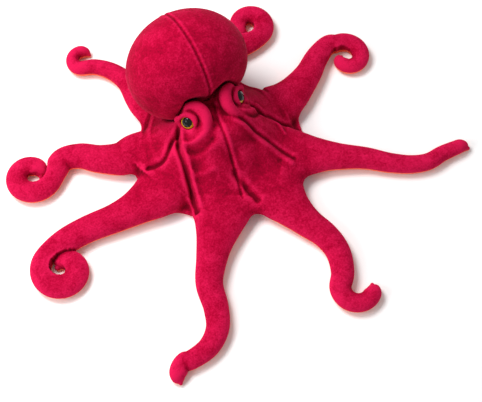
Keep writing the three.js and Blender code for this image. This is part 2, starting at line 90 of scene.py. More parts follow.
def make_camera():
    flat = math.cos(CAMERA_ELEVATION)
    east, south = math.sin(CAMERA_AZIMUTH) * flat, math.cos(CAMERA_AZIMUTH) * flat
    back = Vector((east, -south, math.sin(CAMERA_ELEVATION)))
    data = bpy.data.cameras.new("camera")
    data.lens = CAMERA_LENS
    data.sensor_width = 36
    data.clip_end = 20
    camera = link(data, "camera")
    camera.location = CAMERA_TARGET + back * CAMERA_DISTANCE
    camera.rotation_euler = (-back).to_track_quat("-Z", "Y").to_euler()
    bpy.context.scene.camera = camera


def make_light(name, place, size, power):
    """A round softbox that faces the toy: its place and size in metres, its power in watts."""
    data = bpy.data.lights.new(name, "AREA")
    data.shape = "DISK"
    data.size = size
    data.energy = power
    light = link(data, name)
    light.location = place
    light.rotation_euler = (-Vector(place)).to_track_quat("-Z", "Y").to_euler()


def to_linear(colour):
    """The linear RGBA of an sRGB hex colour."""
    shares = [int(colour[i : i + 2], 16) / 255 for i in (1, 3, 5)]
    linear = [s / 12.92 if s <= 0.04045 else ((s + 0.055) / 1.055) ** 2.4 for s in shares]
    return (*linear, 1.0)


def add_node(tree, kind, inputs=None, **settings):
    """A node with its settings, its input values and its links."""
    made = tree.nodes.new(kind)
    for name, value in settings.items():
        setattr(made, name, value)
    for socket, value in (inputs or {}).items():
        if isinstance(value, bpy.types.NodeSocket):
            tree.links.new(value, made.inputs[socket])
        else:
            made.inputs[socket].default_value = value
    return made


def new_material(name):
    material = bpy.data.materials.new(name)
    material.use_nodes = True
    material.node_tree.nodes.clear()
    return material, material.node_tree


def noise(tree, place, *values):
    """A noise pattern by its scale, detail, roughness and distortion, as many as are given."""
    inputs = dict(zip(("Scale", "Detail", "Roughness", "Distortion"), values), Vector=place)
    return add_node(tree, "ShaderNodeTexNoise", inputs).outputs["Fac"]


def finish_material(material, inputs):
    tree = material.node_tree
    surface = add_node(tree, "ShaderNodeBsdfPrincipled", inputs)
    add_node(tree, "ShaderNodeOutputMaterial", {"Surface": surface.outputs[0]})
    return material


def colour_ramp(tree, factor, stops):
    """A ramp through (place, hex colour) stops."""
    ramp = add_node(tree, "ShaderNodeValToRGB", {"Fac": factor})
    elements = ramp.color_ramp.elements
    while len(elements) < len(stops):
        elements.new(0.5)
    for element, (place, colour) in zip(elements, stops):
        element.position = place
        element.color = to_linear(colour)
    return ramp.outputs["Color"]


# The plush's patterns: how many to a metre, detail, roughness and distortion. The nap lies in patches of
# about 26 mm and strokes of about 8 mm. The ends of the pile are 0.2 mm apart, too fine to show, so they
# are drawn as tufts of about 2.4 mm.
NAP = (38.0, 4.0, 0.6, 0.6)
STROKES = (130.0, 3.0, 0.65, 1.2)
TUFTS = (420.0, 3.0, 0.7, 0.0)


def make_plush(name, deep, mid, light, sheen_colour):
    """Short-pile plush velour, knitted polyester with its pile brushed one way: matt, mottled where the
    nap lies differently, speckled by the ends of the pile, and paler at grazing angles. Its colour is also
    painted deeper in folds and hollows, as painted shade, and paler on ridges, as painted highlight."""
    material, tree = new_material(name)
    place = add_node(tree, "ShaderNodeTexCoord").outputs["Object"]
    nap, strokes, tufts = (noise(tree, place, *pattern) for pattern in (NAP, STROKES, TUFTS))
    # Painted shade and painted highlight: the point attribute read here is above 0 in the mesh's folds and
    # hollows and below 0 on its ridges. It makes the colour deeper in the hollows and paler on the ridges.
    crease = add_node(tree, "ShaderNodeAttribute", attribute_name="crease").outputs["Fac"]
    shade = add_node(tree, "ShaderNodeMath", {0: nap, 1: 0.55, 2: -0.12}, operation="MULTIPLY_ADD")
    for part, share in ((strokes, 0.5), (tufts, 0.75), (crease, -0.42)):
        inputs = {0: part, 1: share, 2: shade.outputs[0]}
        shade = add_node(tree, "ShaderNodeMath", inputs, operation="MULTIPLY_ADD")
    shade = add_node(
        tree, "ShaderNodeMapRange", {"Value": shade.outputs[0], "From Min": 0.42, "From Max": 1.12}
    )
    colour = colour_ramp(tree, shade.outputs[0], [(0.0, deep), (0.5, mid), (1.0, light)])
    strokes_bump = add_node(tree, "ShaderNodeBump", {"Height": strokes, "Strength": 0.3, "Distance": 0.0012})
    pile_bump = add_node(
        tree,
        "ShaderNodeBump",
        {"Height": tufts, "Strength": 0.4, "Distance": 0.0008, "Normal": strokes_bump.outputs[0]},
    )
    inputs = {
        "Base Color": colour,
        "Roughness": 0.92,
        "Specular IOR Level": 0.06,
        "Sheen Weight": 0.2,
        "Sheen Roughness": 0.32,
        "Sheen Tint": to_linear(sheen_colour),
        "Normal": pile_bump.outputs[0],
    }
    return finish_material(material, inputs)


def make_moulded_plastic(name, colour, roughness):
    """Injection-moulded acrylic with a polished face: one even colour under a clear gloss, dulled a little
    by fine rub marks."""
    material, tree = new_material(name)
    place = add_node(tree, "ShaderNodeTexCoord").outputs["Object"]
    rubs = noise(tree, place, 900.0, 2.0)
    inputs = {"Value": rubs, "To Min": roughness, "To Max": roughness + 0.08}
    worn = add_node(tree, "ShaderNodeMapRange", inputs)
    tone = colour_ramp(tree, rubs, [(0.3, colour[0]), (0.7, colour[1])])
    inputs = {
        "Base Color": tone,
        "Roughness": worn.outputs[0],
        "IOR": 1.36,
        "Coat Weight": 0.12,
        "Coat Roughness": 0.03,
    }
    return finish_material(material, inputs)


def make_floor_material():
    material, _ = new_material("painted_white_board")
    inputs = {"Base Color": to_linear("#fafafa"), "Roughness": 0.8, "Specular IOR Level": 0.1}
    return finish_material(material, inputs)


FLOOR_REACH = 6.0  # metres from the middle to each edge
WORLD_LIGHT = 0.42


def make_stage():
    corners = [(x * FLOOR_REACH, y * FLOOR_REACH, 0) for x, y in ((-1, -1), (1, -1), (1, 1), (-1, 1))]
    mesh = bpy.data.meshes.new("floor")
    mesh.from_pydata(corners, [], [(0, 1, 2, 3)])
    mesh.materials.append(make_floor_material())
    link(mesh, "floor")
    world = bpy.data.worlds.new("studio")
    world.use_nodes = True
    background = world.node_tree.nodes["Background"].inputs
    background["Color"].default_value = (1, 1, 1, 1)
    background["Strength"].default_value = WORLD_LIGHT
    bpy.context.scene.world = world
    bpy.context.scene.view_settings.view_transform = "Standard"  # keeps the crimson deep
    make_light("softbox_over", (-0.45, 0.75, 1.6), 0.9, 30)
    make_light("glint", (-1.2, -0.5, 0.6), 0.1, 1.6)
    make_light("softbox_side", (-1.3, 0.1, 1.1), 0.7, 8)


make_camera()
make_stage()

CRIMSON = make_plush("crimson_plush_velour", "#6c0018", "#a3002c", "#d0154b", "#ff4a7c")
ORANGE = make_plush("orange_plush_velour", "#d8391f", "#f2543a", "#ff7a5c", "#ffc2a8")
THREAD = make_plush("crimson_polyester_thread", "#5a0012", "#8c0022", "#b51240", "#ff4a7c")
YELLOW = make_moulded_plastic("yellow_moulded_acrylic", ("#d9a514", "#f0c431"), 0.12)
BLACK = make_moulded_plastic("black_moulded_acrylic", ("#050506", "#0b0b0d"), 0.06)
CLEAR = make_moulded_plastic("clear_moulded_polythene", ("#d9d6cc", "#e8e6df"), 0.4)

# ---- Sizes that repeat the sewn pattern ----

HINGE_RADIUS = 104  # from the body's axis to the fold where each arm starts
CROWN_HEIGHT = 102
CROWN_RADIUS = 30
SKIRT_HEIGHT = 40
WEB_HEIGHT = 8
WEB_SEAM = 1.8  # height of the seam round the webs
ROOT_WIDTH = 58
ARM_WIDTH = 45
TIP_WIDTH = 24
FLARE_LENGTH = 55
ARM_HEIGHT = 30
TIP_HEIGHT = 19
TIP_ROUND = 16
ROOT_RUN = 16
CURL_POINT_TURN = 24
SEAM_SHARE = 0.5
HINGE_DEPTH = 4
PATH_STEP = 1.5  # spacing of the points of an arm's centreline
INNER_END = 14  # the arms' ridges run in over the body to this distance from its axis

# Each arm: its centreline on the floor and the curl at its tip, measured from its root fold, and where it
# differs from the others: its girth, how far its root flares, its tip's width, and how much wider it is
# cut on each side of the root.
ARMS = [
    {
        "name": "arm_1",
        "girth": 0.72,
        "flare": 30,
        "line": [(-12, 31), (-13, 64), (-24, 92), (-43, 113)],
        "curl": {"centre": (-52, 135), "from": 225, "turn": -205, "start": 17, "end": 14},
    },
    {
        "name": "arm_2",
        "girth": 0.87,
        "wide_left": 9,
        "tip": 33,
        "line": [(-38, 7), (-65, 21), (-88, 40), (-112, 47), (-131, 36)],
        "curl": {"centre": (-164, 47), "from": -56, "turn": -325, "start": 28.5, "end": 13},
    },
    {
        "name": "arm_3",
        "girth": 0.92,
        "tip": 40,
        "wide_left": 5,
        "wide_right": 27,
        "line": [(-50, -6), (-90, -3), (-132, 2), (-170, 1)],
        "curl": {"centre": (-191, -36), "from": 112, "turn": 360, "start": 29, "end": 11},
    },
    {
        "name": "arm_4",
        "wide_left": 30,
        "wide_right": 6,
        "line": [(-24, -40), (-47, -72), (-69, -105), (-78, -140), (-91, -167), (-115, -184), (-148, -187)],
        "curl": {"centre": (-150, -207), "from": 93, "turn": 88, "start": 22, "end": 21},
    },
    {
        "name": "arm_5",
        "wide_left": 37,
        "wide_right": 11,
        "line": [(11, -43), (25, -82), (38, -114), (40, -143), (29, -173)],
        "curl": {"centre": (36, -201), "from": 150, "turn": 195, "start": 24, "end": 22},
    },
    {
        "name": "arm_6",
        "wide_right": 34,
        "girth": 0.86,
        "line": [
            (31, -27), (61, -52), (95, -76), (121, -99), (148, -117), (172, -125), (197, -124), (221, -126)
        ],
        "curl": {"centre": (221, -144), "from": 90, "turn": -60, "start": 18, "end": 19},
    },
    {
        "name": "arm_7",
        "wide_right": 10,
        "girth": 0.89,
        "line": [(36, 5), (72, 20), (104, 41), (131, 50)],
        "curl": {"centre": (143, 18), "from": 96, "turn": -330, "start": 28, "end": 9},
    },
    {
        "name": "arm_8",
        "line": [(19, 25), (44, 37), (70, 36)],
        "curl": {"centre": (88, 63), "from": -76, "turn": 305, "start": 24, "end": 12.5},
    },
]


def smooth_step(t):
    t = np.clip(t, 0, 1)
    return t * t * (3 - 2 * t)


def hump(x, width, place=0):
    """1 at a place, and close to 0 from two widths away."""
    return np.exp(-(((x - place) / width) ** 2))


def smooth_min(a, b, k):
    """The smaller of two distances, with the corner between them filled over k."""
    h = np.maximum(k - np.abs(a - b), 0) / k
    return np.minimum(a, b) - h * h * k / 4


def smooth_max(a, b, k):
    return -smooth_min(-a, -b, k)


def bell_height(radius):
    share = np.clip((radius - CROWN_RADIUS) / (HINGE_RADIUS - CROWN_RADIUS), 0, 1)
    return SKIRT_HEIGHT + (CROWN_HEIGHT - SKIRT_HEIGHT) * (1 + np.cos(np.pi * share)) / 2


def through_points(points, step):
    """A centripetal Catmull-Rom curve through points, as points about a step apart."""
    points = np.array(points, float)
    ends = np.vstack([2 * points[0] - points[1], points, 2 * points[-1] - points[-2]])
    made = []
    for i in range(1, len(ends) - 2):
        p = ends[i - 1 : i + 3]
        gaps = np.sqrt(np.linalg.norm(np.diff(p, axis=0), axis=1))
        gaps[1] = gaps[1] if gaps[1] > 1e-4 else 1.0
        gaps = np.where(gaps < 1e-4, gaps[1], gaps)
        start_tangent = gaps[1] * (
            (p[1] - p[0]) / gaps[0] - (p[2] - p[0]) / (gaps[0] + gaps[1]) + (p[2] - p[1]) / gaps[1]
        )
        end_tangent = gaps[1] * (
            (p[2] - p[1]) / gaps[1] - (p[3] - p[1]) / (gaps[1] + gaps[2]) + (p[3] - p[2]) / gaps[2]
        )
        count = max(2, int(np.linalg.norm(p[2] - p[1]) / step))
        t = np.linspace(0, 1, count, endpoint=False)[:, None]
        made.append(
            (2 * t**3 - 3 * t**2 + 1) * p[1]
            + (t**3 - 2 * t**2 + t) * start_tangent
            + (-2 * t**3 + 3 * t**2) * p[2]
            + (t**3 - t**2) * end_tangent
        )
    return np.vstack([*made, points[-1:]])


def place_arm(arm):
    """Works out an arm's centreline from its joints, with distances from its root fold."""
    lift = JOINTS[arm["name"] + "_lift"]
    swing = JOINTS[arm["name"] + "_swing"]
    axis = lift["axis"]
    arm["out"] = np.array([-axis[1], axis[0]])
    arm["left"] = np.array([-arm["out"][1], arm["out"][0]])
    arm["root"] = np.array(lift["pos_m"][:2]) / MM
    arm["root_height"] = lift["pos_m"][2] / MM + HINGE_DEPTH
    arm["angle"] = math.degrees(math.atan2(arm["out"][1], arm["out"][0])) % 360
    points = [arm["root"] + arm["out"] * run for run in (-ROOT_RUN, 0, ROOT_RUN)]
    points += [arm["root"] + np.array(point) for point in arm["line"]]
    curl = arm["curl"]
    steps = math.ceil(abs(curl["turn"]) / CURL_POINT_TURN)
    for i in range(steps + 1):
        share = i / steps
        radius = curl["start"] + (curl["end"] - curl["start"]) * share
        angle = math.radians(curl["from"] + curl["turn"] * share)
        spoke = radius * np.array([math.cos(angle), math.sin(angle)])
        points.append(arm["root"] + np.array(curl["centre"]) + spoke)
    outer = through_points(points, PATH_STEP)
    inner_run = np.arange(INNER_END, HINGE_RADIUS - ROOT_RUN, PATH_STEP)
    inner = inner_run[:, None] * arm["out"]
    path = np.vstack([inner, outer])
    path = path[np.append(True, np.linalg.norm(np.diff(path, axis=0), axis=1) > 0.01)]
    along = np.concatenate([[0], np.cumsum(np.linalg.norm(np.diff(path, axis=0), axis=1))])
    arm["path"] = path
    arm["along"] = along - (HINGE_RADIUS - INNER_END)
    arm["length"] = arm["along"][-1]
    fold = np.array(swing["pos_m"][:2]) / MM
    nearest = np.argmin(np.linalg.norm(path - fold, axis=1))
    tangent = path[nearest + 2] - path[nearest - 2]
    arm["fold"] = fold
    arm["fold_along"] = arm["along"][nearest]
    arm["tangent"] = tangent / np.linalg.norm(tangent)


for arm in ARMS:
    place_arm(arm)

ROOT_SPREAD = 52  # how far out the wider cut of a root fades
SPREAD_FROM, SPREAD_RAMP = 55, 45  # how far in over the body it starts, and how fast
TIP_LEAST = 0.06
TIP_FLATNESS = 0.35  # an arm's thickness at its very tip, of its thickness behind it
RIDGE_RISE, RIDGE_RISE_RUN = 2, 20
RIDGE_DROP, RIDGE_DROP_START, RIDGE_DROP_RUN = 14, 25, 35  # keeps the ridges below the crown
RIDGE_NARROWING, RIDGE_RUN = 16, 70


def arm_size(arm, along, side=0.0):
    """Half width and thickness of an arm at distances from its root fold, and over the body before it.
    Some arms are cut wider on one side of the root, where the cloth runs out from the web."""
    outward = np.maximum(along, 0)
    flare = np.exp(-outward / arm.get("flare", FLARE_LENGTH))
    taper = (outward / arm["length"]) ** 1.2
    girth = arm.get("girth", 1)
    stem = (ARM_WIDTH - (ARM_WIDTH - arm.get("tip", TIP_WIDTH)) * taper) * girth
    width = (ROOT_WIDTH - ARM_WIDTH * girth) * flare + stem
    spread = hump(outward, ROOT_SPREAD) * smooth_step((along + SPREAD_FROM) / SPREAD_RAMP)
    extra = np.where(np.asarray(side) > 0, arm.get("wide_left", 0), arm.get("wide_right", 0))
    width = width + 2 * extra * spread
    height = (arm["root_height"] - ARM_HEIGHT) * flare + ARM_HEIGHT
    height = height - (ARM_HEIGHT - TIP_HEIGHT) * taper
    left = np.clip((arm["length"] - along) / TIP_ROUND, 0, 1)
    rounding = np.sqrt(np.maximum(TIP_LEAST, 1 - (1 - left) ** 2))
    width = width * rounding
    height = height * (TIP_FLATNESS + (1 - TIP_FLATNESS) * rounding)
    inward = np.maximum(-along, 0)
    ridge = bell_height(HINGE_RADIUS - inward) - (SKIRT_HEIGHT - arm["root_height"])
    ridge = ridge + RIDGE_RISE * smooth_step(inward / RIDGE_RISE_RUN)
    ridge = ridge - RIDGE_DROP * smooth_step((inward - RIDGE_DROP_START) / RIDGE_DROP_RUN)
    height = np.where(along < 0, ridge, height)
    width = width - RIDGE_NARROWING * smooth_step(inward / RIDGE_RUN)
    return width / 2, height


# ---- Mantle's place ----

MANTLE_CENTRE = np.array([0, 77, 110])
MANTLE_LENGTH = 80
MANTLE_RADIUS = 88
MANTLE_STRETCH = np.array([1.055, 1, 1])  # it is wider than it is high
MANTLE_RISE = math.radians(12)
MANTLE_AXIS = np.array([0, math.cos(MANTLE_RISE), math.sin(MANTLE_RISE)])
MANTLE_UP = np.array([0, -math.sin(MANTLE_RISE), math.cos(MANTLE_RISE)])
DIMPLE_DEPTH = 16
DIMPLE_ANGLE = math.radians(35)
NECK_HINGE = np.array(JOINTS["mantle_raise"]["pos_m"]) / MM
NECK_SLOPE = math.radians(60)
NECK_FACE = np.array([0, math.sin(NECK_SLOPE), math.cos(NECK_SLOPE)])
NECK_GAP = 1.5
ASIDE_BULGE, ASIDE_START, ASIDE_RUN = 40, 34, 30  # beside the brows
LOW_BULGE, LOW_START, LOW_RUN = 14, 90, 30  # below the brows
BROW_DENT, BROW_PLACE, BROW_WIDTH = 5, 30, 15
MIDDLE_BULGE, MIDDLE_WIDTH = 5, 9  # between the brows


def neck_gap(points):
    """How far behind the neck's face the mantle stays: further behind the brows, and well in front beside
    them."""
    off = np.abs(points[..., 0])
    aside = smooth_step((off - ASIDE_START) / ASIDE_RUN)
    low = smooth_step((LOW_START - points[..., 2]) / LOW_RUN)
    brows = hump(off, BROW_WIDTH, BROW_PLACE)
    between = hump(off, MIDDLE_WIDTH)
    gap = NECK_GAP - ASIDE_BULGE * aside - LOW_BULGE * low + BROW_DENT * brows * (1 - low)
    return gap - MIDDLE_BULGE * between


def mantle_reach(angle):
    """How far the mantle reaches from its centre, at an angle from the way to the neck."""
    reach = 1 / np.hypot(np.cos(angle) / MANTLE_LENGTH, np.sin(angle) / MANTLE_RADIUS)
    return reach - DIMPLE_DEPTH * hump(angle, DIMPLE_ANGLE)


# ---- Plush surface ----

STEP = 1.5  # spacing of the grid that the plush surface is drawn on
MARGIN = 8
CURL_ROOM = 14  # the first arm's curl reaches past the solids at the back
LOWEST, HIGHEST = -2, 132
FAR = 60.0  # an arm is worked out this far round its centreline


def grid_axis(low, high):
    return np.arange(math.floor(low - MARGIN), high + MARGIN, STEP)


X = grid_axis(BOX_LOW[0], BOX_HIGH[0])
Y = grid_axis(BOX_LOW[1], BOX_HIGH[1] + CURL_ROOM)
Z = grid_axis(LOWEST, HIGHEST)
PLAN_X, PLAN_Y = np.meshgrid(X, Y, indexing="ij")


def arm_map(arm):
    """For each place on the floor: distance to the arm's centreline, which side, and how far along."""
    distance = np.full(PLAN_X.shape, 4.0 * FAR)
    side = np.zeros(PLAN_X.shape)
    along = np.zeros(PLAN_X.shape)
    path, run = arm["path"], arm["along"]
    near_x = np.flatnonzero((X > path[:, 0].min() - FAR) & (X < path[:, 0].max() + FAR))
    near_y = np.flatnonzero((Y > path[:, 1].min() - FAR) & (Y < path[:, 1].max() + FAR))
    block = np.ix_(near_x, near_y)
    spots = np.stack([PLAN_X[block].ravel(), PLAN_Y[block].ravel()], -1)
    square = ((spots[:, None, :] - path[None, :, :]) ** 2).sum(-1)
    nearest = np.clip(np.argmin(square, axis=1), 1, len(path) - 2)
    best = np.full(len(spots), np.inf)
    best_side = np.zeros(len(spots))
    best_along = np.zeros(len(spots))
    for shift in (-1, 0):
        a, b = path[nearest + shift], path[nearest + shift + 1]
        step = b - a
        share = ((spots - a) * step).sum(-1) / (step**2).sum(-1)
        share = np.clip(share, 0, 1)
        offset = spots - (a + step * share[:, None])
        gap = np.linalg.norm(offset, axis=1)
        closer = gap < best
        turn = step[:, 0] * offset[:, 1] - step[:, 1] * offset[:, 0]
        best = np.where(closer, gap, best)
        best_side = np.where(closer, np.sign(turn) * gap, best_side)
        best_along = np.where(closer, run[nearest + shift] + share * np.linalg.norm(step, axis=1), best_along)
    shape = (len(near_x), len(near_y))
    distance[block] = best.reshape(shape)
    side[block] = best_side.reshape(shape)
    along[block] = best_along.reshape(shape)
    return distance, side, along


LEAST_DEPTH = 2
UNDER_FULLNESS = 1.12  # the under cloth would bulge this much below the floor, so it lies flat on it


def section_field(distance, half_width, height, seam):
    """Distance outside an arched section that is flatter under its side seam."""
    across = distance[:, :, None] / half_width[:, :, None]
    level = Z[None, None, :]
    over = np.maximum(height - seam, LEAST_DEPTH)[:, :, None]
    under = np.maximum(seam, LEAST_DEPTH)[:, :, None]
    depth = np.where(level > seam[:, :, None], over, under * UNDER_FULLNESS)
    up = (level - seam[:, :, None]) / depth
    q = np.sqrt(across**2 + up**2) + 1e-6
    slope = np.sqrt((across / half_width[:, :, None]) ** 2 + (up / depth) ** 2) + 1e-6
    return (q - 1) * q / slope


LINE_STEP = 2.0  # spacing of the points of a fold or a sewn line


def groove(points, width):
    """How near each place on the floor is to a sewn or folded line, from 1 on it to 0."""
    path = through_points(points, LINE_STEP)
    best = np.full(PLAN_X.shape, 1e9)
    for a, b in zip(path[:-1], path[1:]):
        step = b - a
        share = ((PLAN_X - a[0]) * step[0] + (PLAN_Y - a[1]) * step[1]) / (step @ step)
        share = np.clip(share, 0, 1)
        gap = np.hypot(PLAN_X - a[0] - step[0] * share, PLAN_Y - a[1] - step[1] * share)
        best = np.minimum(best, gap)
    return hump(best, width)


MAPS = [arm_map(arm) for arm in ARMS]
PLAN_RADIUS = np.hypot(PLAN_X, PLAN_Y)
PLAN_ANGLE = np.degrees(np.arctan2(PLAN_Y, PLAN_X)) % 360


# How far each web reaches: the one after each arm, counterclockwise from the first.
WEB_REACH = [110, 126, 124, 122, 137, 130, 102, 108]


def web_radius():
    middles = []
    for number, arm in enumerate(ARMS):
        after = ARMS[(number + 1) % len(ARMS)]
        middles.append((arm["angle"] + ((after["angle"] - arm["angle"]) % 360) / 2) % 360)
    return np.interp(PLAN_ANGLE, *zip(*sorted(zip(middles, WEB_REACH))), period=360)


WEB_RADIUS = web_radius()
SEAM_RISE_START, SEAM_RISE_RUN = 4, 34  # past the web's edge


def seam_height(height):
    """Height of the side seam: low round the webs, then half way up the arm."""
    share = smooth_step((PLAN_RADIUS - WEB_RADIUS - SEAM_RISE_START) / SEAM_RISE_RUN)
    return WEB_SEAM + (height * SEAM_SHARE - WEB_SEAM) * share


BODY_SEAM_SHARE = 0.35
# The corners between arms, and between the arms and the bell, are filled more further out.
ARM_FILL, BELL_FILL, FILL_GAIN, FILL_START, FILL_RUN = 4, 5, 13, 50, 40
VALLEY_DEPTH, VALLEY_START, VALLEY_RUN = 10, 45, 35  # the bell between the arms' ridges
THIN_FROM, THIN_TO = 12, 8  # the bell thins out from inside the folds to inside the web's edge
WEB_ROUND = 6.0
FOLD_BASE = 12  # folds fade out between twice this height and this height
FLOOR_GAP, FLOOR_ROUND = 0.6, 2.0


def plush_field():
    """Distance outside the plush, on the grid."""
    opening = smooth_step((PLAN_RADIUS - FILL_START) / FILL_RUN)
    field = None
    for arm, (distance, side, along) in zip(ARMS, MAPS):
        half_width, height = arm_size(arm, along, side)
        seam = height * np.where(along < 0, BODY_SEAM_SHARE, SEAM_SHARE)
        part = section_field(distance, half_width, height, seam)
        fill = (ARM_FILL + FILL_GAIN * opening)[:, :, None]
        field = part if field is None else smooth_min(field, part, fill)
    valley = VALLEY_DEPTH * smooth_step((PLAN_RADIUS - VALLEY_START) / VALLEY_RUN)
    top = bell_height(PLAN_RADIUS) - valley
    thinning = WEB_RADIUS - HINGE_RADIUS + (THIN_FROM - THIN_TO)
    outer = smooth_step((PLAN_RADIUS - HINGE_RADIUS + THIN_FROM) / thinning)
    top = top * (1 - outer) + WEB_HEIGHT * outer
    slope_x, slope_y = np.gradient(top, STEP)
    steep = np.sqrt(1 + slope_x**2 + slope_y**2)
    core = (Z[None, None, :] - top[:, :, None]) / steep[:, :, None]
    rim = (PLAN_RADIUS - WEB_RADIUS)[:, :, None] + 0 * core
    core = smooth_max(core, rim, WEB_ROUND)
    field = smooth_min(field, core, (BELL_FILL + FILL_GAIN * opening)[:, :, None])
    reach = smooth_step((Z - FOLD_BASE) / FOLD_BASE)
    for points, width, depth in FOLDS:
        field = field + depth * groove(points, width)[:, :, None] * reach
    for eye in EYES:
        add_eye_cloth(field, eye)
    make_mantle_room(field)
    return smooth_max(field, FLOOR_GAP - Z[None, None, :] + 0 * field, FLOOR_ROUND)


EYE_WAY = (0.577, -0.408, 0.707)
MOUND_PLACE = (28.0, 10.0, 84.0)
MOUND_RADIUS = 22
EYE_SINK = 1
EYE_REACH = 54  # the eye's cloths all lie inside this distance
SOCKET_RADIUS = 10.6
SOCKET_DEPTH, SOCKET_EDGE = 0.3, 1.5
LID = {"radius": 12.3, "tube": 5.0, "raise": 5.4, "from": -4, "to": 184, "blend": 1.5}
BROW = {"radius": 22.5, "tube": 8.6, "raise": 1.6, "from": -50, "to": 196, "blend": 6.0}
BROW_INWARD = 5
BROW_UPWARD = 3
BROW_DEPTH = 9
PADDING_ROUND, BROW_ROUND = 6.0, 10.0
ROLL_END, ROLL_TAPER = 0.3, 0.6  # a roll's thickness at its ends, and how soon it thins


def place_eye(sign):
    """An eye's frame: the back of the eye, the way that it looks, its right and up its face."""
    axis = np.array(EYE_WAY) * (sign, 1, 1)
    axis /= np.linalg.norm(axis)
    up = np.array([0, 0, 1]) - axis[2] * axis
    up /= np.linalg.norm(up)
    mound = np.array(MOUND_PLACE) * (sign, 1, 1)
    return {
        "sign": sign,
        "mound": mound,
        "back": mound + axis * (MOUND_RADIUS - EYE_SINK),
        "axis": axis,
        "up": up,
        "right": np.cross(up, axis),
    }


EYES = [place_eye(sign) for sign in (-1, 1)]


def roll_distance(across, up, out, roll):
    """Distance outside a padded roll bent round an eye, thinner at its two ends."""
    turn = np.degrees(np.arctan2(up, across))
    turn = np.where(turn < -90, turn + 360, turn)
    held = np.clip(turn, roll["from"], roll["to"])
    x = roll["radius"] * np.cos(np.radians(held))
    y = roll["radius"] * np.sin(np.radians(held))
    share = (held - roll["from"]) / (roll["to"] - roll["from"])
    tube = roll["tube"] * (ROLL_END + (1 - ROLL_END) * np.sin(np.pi * share) ** ROLL_TAPER)
    return np.sqrt((across - x) ** 2 + (up - y) ** 2 + (out - roll["raise"]) ** 2) - tube


def brow_distance(spot, eye):
    """Distance outside an eye's mound and its brow."""
    mound = np.linalg.norm(spot - eye["mound"], axis=-1) - MOUND_RADIUS
    offset = spot - eye["back"]
    across, up, out = (offset @ eye[way] for way in ("right", "up", "axis"))
    inward = (across if eye["sign"] < 0 else -across) - BROW_INWARD
    upward = up - BROW_UPWARD
    disc = np.hypot(inward, upward) - BROW["radius"]
    padding = smooth_max(disc, np.abs(out + BROW_DEPTH + 1) - BROW_DEPTH, PADDING_ROUND)
    brow = roll_distance(inward, upward, out, BROW)
    return smooth_min(smooth_min(mound, padding, BROW_ROUND), brow, BROW_ROUND)


def field_block(field, centre, reach):
    """The part of the field round a centre, and its points."""
    spans = []
    for axis, line in enumerate((X, Y, Z)):
        spans.append(np.flatnonzero(np.abs(line - centre[axis]) < reach))
    block = np.ix_(*spans)
    lines = [line[span] for line, span in zip((X, Y, Z), spans)]
    return block, np.stack(np.meshgrid(*lines, indexing="ij"), -1)


def add_eye_cloth(field, eye):
    """Adds an eye's mound, its socket, its lid and its brow to the field round it."""
    block, spot = field_block(field, eye["back"], EYE_REACH)
    part = smooth_min(field[block], brow_distance(spot, eye), BROW["blend"])
    offset = spot - eye["back"]
    across, up, out = (offset @ eye[way] for way in ("right", "up", "axis"))
    socket = np.maximum(np.hypot(across, up) - SOCKET_RADIUS, -out - SOCKET_DEPTH)
    part = smooth_max(part, -socket, SOCKET_EDGE)
    field[block] = smooth_min(part, roll_distance(across, up, out, LID), LID["blend"])


MANTLE_ROOM = 0.6  # between the mantle and the cloth that it lies on
ROOM_REACH = 12
ROOM_ROUND, ROOM_EDGE = 6.0, 5.0


def make_mantle_room(field):
    """Hollows the field where the mantle lies on it."""
    block, spot = field_block(field, MANTLE_CENTRE, MANTLE_RADIUS + ROOM_REACH)
    offset = (spot - MANTLE_CENTRE) / MANTLE_STRETCH
    far = np.linalg.norm(offset, axis=-1) + 1e-9
    angle = np.arccos(np.clip(-(offset @ MANTLE_AXIS) / far, -1, 1))
    bag = far - mantle_reach(angle)
    behind = (spot - NECK_HINGE) @ NECK_FACE
    room = smooth_max(bag - MANTLE_ROOM, neck_gap(spot) - NECK_GAP - behind, ROOM_ROUND)
    field[block] = smooth_max(field[block], -room, ROOM_EDGE)


# Folds of the face and between the arms' panels: a line on the floor plan, a width and a depth. A fold of
# less than nothing is a ridge.
FOLDS = [
    ([(4, 8), (-3, -15), (-6, -38), (-8, -60), (-12, -86), (-18, -112)], 1.6, 1.9),
    ([(8, 6), (2, -16), (-1, -38), (-3, -60), (-7, -84), (-12, -108)], 2.8, -1.3),
    ([(-12, -82), (-6, -104), (0, -124)], 5.0, 5.0),
    ([(-54, 8), (-65, -12), (-70, -40), (-76, -68), (-83, -96)], 3.4, 8.0),
    ([(-47, 10), (-58, -12), (-63, -40), (-69, -66), (-75, -92)], 3.4, -3.0),
    ([(14, -16), (38, -42), (58, -66), (78, -96)], 2.6, 3.8),
    ([(8, -20), (32, -47), (52, -72), (71, -102)], 3.2, -2.0),
    ([(-40, 4), (-64, 4), (-89, -10), (-112, -4)], 3.4, 5.0),
    ([(56, -10), (76, -24), (92, -36), (108, -44)], 3.4, 5.0),
    ([(-60, -18), (-44, -27), (-27, -27), (-12, -20)], 3.4, -2.6),
    ([(-56, -28), (-40, -38), (-22, -38)], 4.6, 3.0),
    ([(-66, -52), (-52, -62), (-36, -66)], 4.0, -1.6),
    ([(12, 16), (20, 3), (32, -9), (48, -9)], 2.4, 3.4),
    ([(6, 6), (25, -17), (47, -22), (66, -10)], 2.8, -2.2),
    ([(14, -2), (30, -22), (48, -28), (62, -20)], 2.4, 2.4),
    ([(66, -10), (76, -24), (85, -36), (86, -56)], 2.4, -2.6),
]


